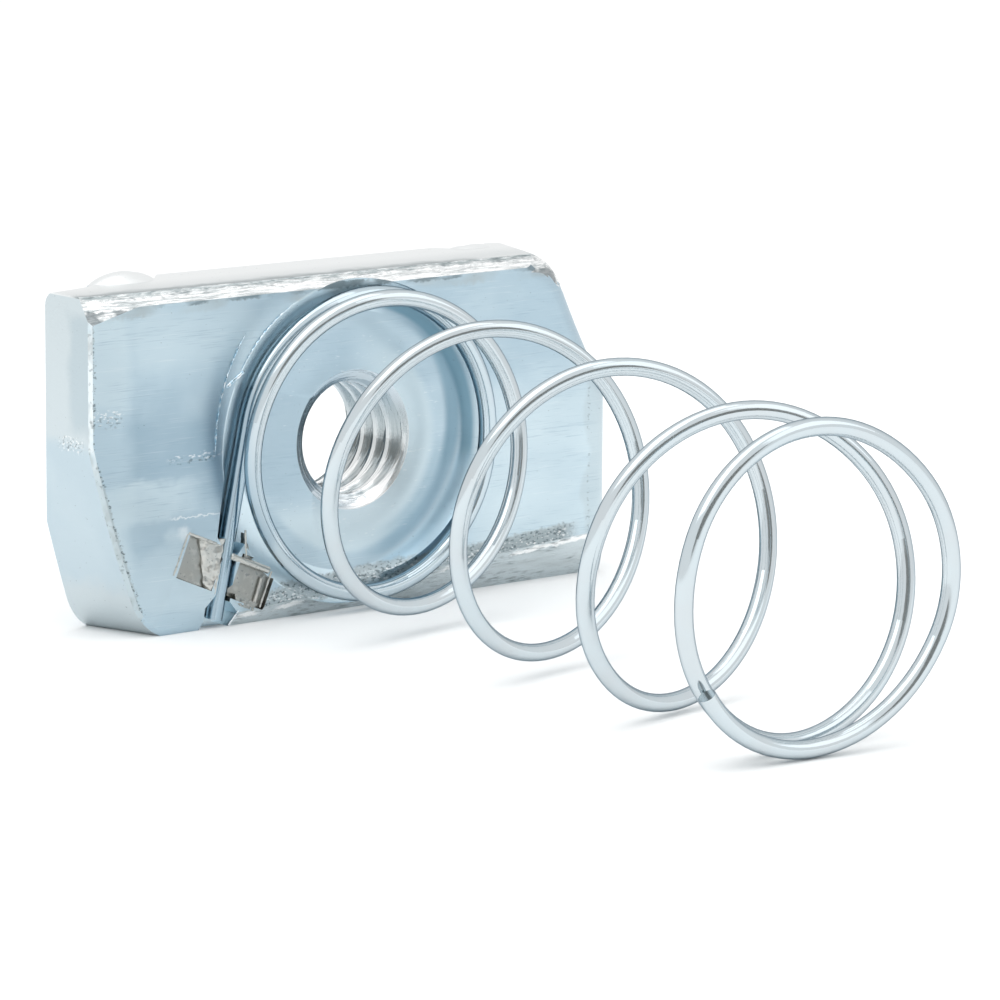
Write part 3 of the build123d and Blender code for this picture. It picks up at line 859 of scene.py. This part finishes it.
def crumple(name, place, size, turn, narrow, rise, thickness):
    """A crumpled patch of metal: centre (X, Y, Z) and size in mm, turned this many degrees.

    Its lower end is narrower by this factor, and its right border rises this many mm.
    """
    centre = Vector(place) * MM
    bpy.ops.object.select_all(action="DESELECT")
    bpy.ops.mesh.primitive_grid_add(
        x_subdivisions=26, y_subdivisions=40, size=1.0 * MM, location=centre, rotation=(pi / 2, 0, 0)
    )
    patch = bpy.context.object
    patch.name = name
    patch.scale = (size[0], size[1], 1.0)
    bpy.ops.object.transform_apply(location=True, rotation=True, scale=True)
    right, low = centre.x + size[0] / 2 * MM, centre.z - size[1] / 2 * MM
    edit_where(patch, lambda co: co.x > right - 0.001 * MM)
    bpy.ops.transform.translate(
        value=(0, -rise * MM, 0), use_proportional_edit=True,
        proportional_edit_falloff="LINEAR", proportional_size=size[0] * MM,
    )
    edit_where(patch, lambda co: co.z < low + 0.001 * MM)
    bpy.ops.transform.resize(
        value=(narrow, 1.0, 1.0), center_override=(right, centre.y, low), use_proportional_edit=True,
        proportional_edit_falloff="LINEAR", proportional_size=size[1] * MM,
    )
    bpy.ops.mesh.select_all(action="SELECT")
    bpy.ops.transform.rotate(value=radians(turn), orient_axis="Y", center_override=centre)
    done()
    wall = patch.modifiers.new("thickness", "SOLIDIFY")
    wall.thickness = thickness * MM
    apply_modifiers(patch)
    return patch


class SPRINGNUT_OT_burrs(bpy.types.Operator):
    """Raises the burrs along the sunk track and round the punch marks"""

    bl_idname = "springnut.burrs"
    bl_label = "Burrs"

    def execute(self, context):
        colours = context.scene.springnut_colours
        film = ridge_film_material(colours)
        lip = struck_steel_material(colours, "bare_struck_steel_lip", colours.steel_lip)
        torn = struck_steel_material(colours, "bare_torn_steel", colours.steel)
        for name, centre, reach, start, sweep, size, depth in (
            ("track_burr_outer", (0.4, 0.6), 10.9, -53.0, -38.0, 0.14, 0.10),
            ("track_burr_inner", (-0.3, 0.0), 9.75, -28.0, -31.0, 0.13, 0.09),
        ):
            burr = ridge(name, centre, reach, start, sweep, size, depth)
            roughen(burr, 0.35, 0.16)
            finish_burr(burr, film)
        for name, begin, end, size, depth, height in (
            ("track_burr_corner", (-8.5, 4.9), (-9.7, 4.1), 0.12, 0.09, 0.0),
            ("punch_lip_right_top", (-9.35, -5.85), (-6.6, -7.0), 0.22, 0.16, -0.1),
            ("track_burr_rim", (-8.85, -9.1), (-9.6, -9.88), 0.06, 0.05, 0.0),
            ("punch_tear_top", (-8.4, -4.4), (-8.34, -5.95), 0.05, 0.06, 0.02),
            ("punch_lip_right_side", (-6.5, -7.05), (-7.38, -9.1), 0.06, 0.06, 0.0),
            ("punch_lip_right_fold", (-7.0, -7.4), (-7.65, -9.1), 0.12, 0.12, -0.3),
            ("punch_lip_left_top", (-12.4, -4.15), (-10.4, -5.0), 0.10, 0.10, -0.05),
            ("punch_lip_left_side", (-12.45, -4.2), (-13.5, -6.55), 0.06, 0.06, 0.0),
        ):
            burr = roll(name, begin, end, size, depth, height)
            roughen(burr, 0.3, 0.06)
            finish_burr(burr, film if name.startswith("track") else lip)
        for name, place, size, turn, narrow, rise, grain, height in (
            ("staked_metal_left", (-11.01, -6.12, -6.2), (1.6, 3.2), -12.0, 0.36, 0.3, 0.5, 0.28),
            ("torn_metal_right", (-8.5, -6.43, -8.66), (1.7, 0.5), -25.0, 0.8, 0.0, 0.25, 0.24),
            ("torn_web", (-8.13, -6.26, -5.35), (0.5, 1.5), 180.0, 0.08, 0.0, 0.25, 0.12),
        ):
            patch = crumple(name, place, size, turn, narrow, rise, 0.3)
            roughen(patch, grain, height)
            finish_burr(patch, lip if name.startswith("staked") else torn)
        return {"FINISHED"}


class SPRINGNUT_OT_spring(bpy.types.Operator):
    """Gives the spring its finish"""

    bl_idname = "springnut.spring"
    bl_label = "Spring"

    def execute(self, context):
        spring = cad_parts["coil_spring"]
        spring.data.materials.clear()
        spring.data.materials.append(wire_material(context.scene.springnut_colours))
        return {"FINISHED"}


def direction(azimuth, elevation):
    """Unit vector away from the part: azimuth from the spring's side, elevation from the horizon."""
    return Vector(
        (sin(azimuth) * cos(elevation), -cos(azimuth) * cos(elevation), sin(elevation))
    )


class SPRINGNUT_OT_stage(bpy.types.Operator):
    """Sets up the floor, the lamps, the world and the camera"""

    bl_idname = "springnut.stage"
    bl_label = "Stage"

    def execute(self, context):
        scene, studio = context.scene, context.scene.springnut_studio
        scene.view_settings.view_transform = "Standard"
        bpy.ops.object.select_all(action="DESELECT")
        bpy.ops.mesh.primitive_plane_add(size=6.0, location=(0, 0, cad_box[0].z))
        floor = context.object
        floor.name = "floor"
        floor.data.materials.append(floor_material(scene.springnut_colours))
        self.card(scene.springnut_colours)
        self.world(scene)
        self.lamps()
        self.camera(scene, studio)
        return {"FINISHED"}

    def world(self, scene):
        """White where it is seen, straight or mirrored, and a soft sky for the rest."""
        world = bpy.data.worlds.new("studio")
        scene.world = world
        world.use_nodes = True
        tree = world.node_tree
        tree.nodes.clear()
        path = add(tree, "ShaderNodeLightPath")
        seen = add(
            tree, "ShaderNodeMath",
            {0: path.outputs["Is Camera Ray"], 1: path.outputs["Is Glossy Ray"]}, operation="MAXIMUM",
        )
        seen = add(
            tree, "ShaderNodeMath",
            {0: seen.outputs[0], 1: path.outputs["Is Transmission Ray"]}, operation="MAXIMUM",
        )
        soft = add(tree, "ShaderNodeBackground", {"Color": (1, 1, 1, 1), "Strength": 1.0})
        white = add(tree, "ShaderNodeBackground", {"Color": (1, 1, 1, 1), "Strength": 1.0})
        mix = add(
            tree, "ShaderNodeMixShader", {0: seen.outputs[0], 1: soft.outputs[0], 2: white.outputs[0]}
        )
        add(tree, "ShaderNodeOutputWorld", {"Surface": mix.outputs[0]})

    def card(self, colours):
        """A grey card in front, above the floor, for the wire to mirror as dark streaks."""
        distance, a, e = 480, radians(-10), radians(14)
        # Half of the angles that the card fills, as the part sees it.
        half_width, half_height = radians(26), radians(11)
        back = direction(a, e)
        bpy.ops.object.select_all(action="DESELECT")
        bpy.ops.mesh.primitive_plane_add(
            size=1.0, location=back * distance * MM, rotation=back.to_track_quat("Z", "Y").to_euler()
        )
        card = bpy.context.object
        card.name = "grey_card"
        card.scale = (2 * distance * tan(half_width) * MM, 2 * distance * tan(half_height) * MM, 1.0)
        card.data.materials.append(card_material(colours))
        card.visible_camera = card.visible_diffuse = card.visible_shadow = False

    def lamps(self):
        """Soft boxes: name, direction (azimuth, elevation), distance, size in mm, power in watts."""
        boxes = [
            ("key_box", -75, 55, 420, (320, 320), 0.34),
            ("fill_box", 35, 40, 450, (300, 300), 0.15),
            ("top_box", 0, 88, 400, (300, 300), 0.20),
        ]
        for name, azimuth, elevation, distance, size, power in boxes:
            back = direction(radians(azimuth), radians(elevation))
            bpy.ops.object.light_add(type="AREA", location=back * distance * MM)
            lamp = bpy.context.object
            lamp.name = name
            lamp.rotation_euler = (-back).to_track_quat("-Z", "Y").to_euler()
            lamp.data.shape = "RECTANGLE"
            lamp.data.size, lamp.data.size_y = size[0] * MM, size[1] * MM
            lamp.data.energy = power

    def camera(self, scene, studio):
        """The camera looks at the aim point from its azimuth and elevation, slightly rolled."""
        back = direction(studio.azimuth, studio.elevation)
        bpy.ops.object.camera_add(location=Vector(studio.aim) + back * studio.distance)
        camera = bpy.context.object
        camera.rotation_mode = "QUATERNION"
        upright = (-back).to_track_quat("-Z", "Y")
        camera.rotation_quaternion = upright @ Matrix.Rotation(studio.roll, 4, "Z").to_quaternion()
        camera.data.lens = studio.lens
        camera.data.clip_start = 0.01
        scene.camera = camera


class SPRINGNUT_PT_panel(bpy.types.Panel):
    """Lists the part's operators"""

    bl_label = "Spring nut"
    bl_idname = "SPRINGNUT_PT_panel"
    bl_space_type = "VIEW_3D"
    bl_region_type = "UI"
    bl_category = "Spring nut"

    def draw(self, context):
        for name in STEPS:
            self.layout.operator(f"springnut.{name}")


STEPS = ("nut", "burrs", "spring", "stage")
GROUPS = {
    "springnut_sizes": SpringNutSizes,
    "springnut_colours": SpringNutColours,
    "springnut_studio": SpringNutStudio,
}
CLASSES = (
    *GROUPS.values(), SPRINGNUT_OT_nut, SPRINGNUT_OT_burrs, SPRINGNUT_OT_spring,
    SPRINGNUT_OT_stage, SPRINGNUT_PT_panel,
)


def register():
    """Registers the classes and hangs the settings on the scene."""
    for cls in CLASSES:
        bpy.utils.register_class(cls)
    for name, group in GROUPS.items():
        setattr(bpy.types.Scene, name, bpy.props.PointerProperty(type=group))


def unregister():
    """Takes the settings and the classes out again."""
    for name in GROUPS:
        delattr(bpy.types.Scene, name)
    for cls in reversed(CLASSES):
        bpy.utils.unregister_class(cls)


def main():
    """Builds everything in order."""
    register()
    for name in STEPS:
        getattr(bpy.ops.springnut, name)()


if __name__ == "__main__":
    main()
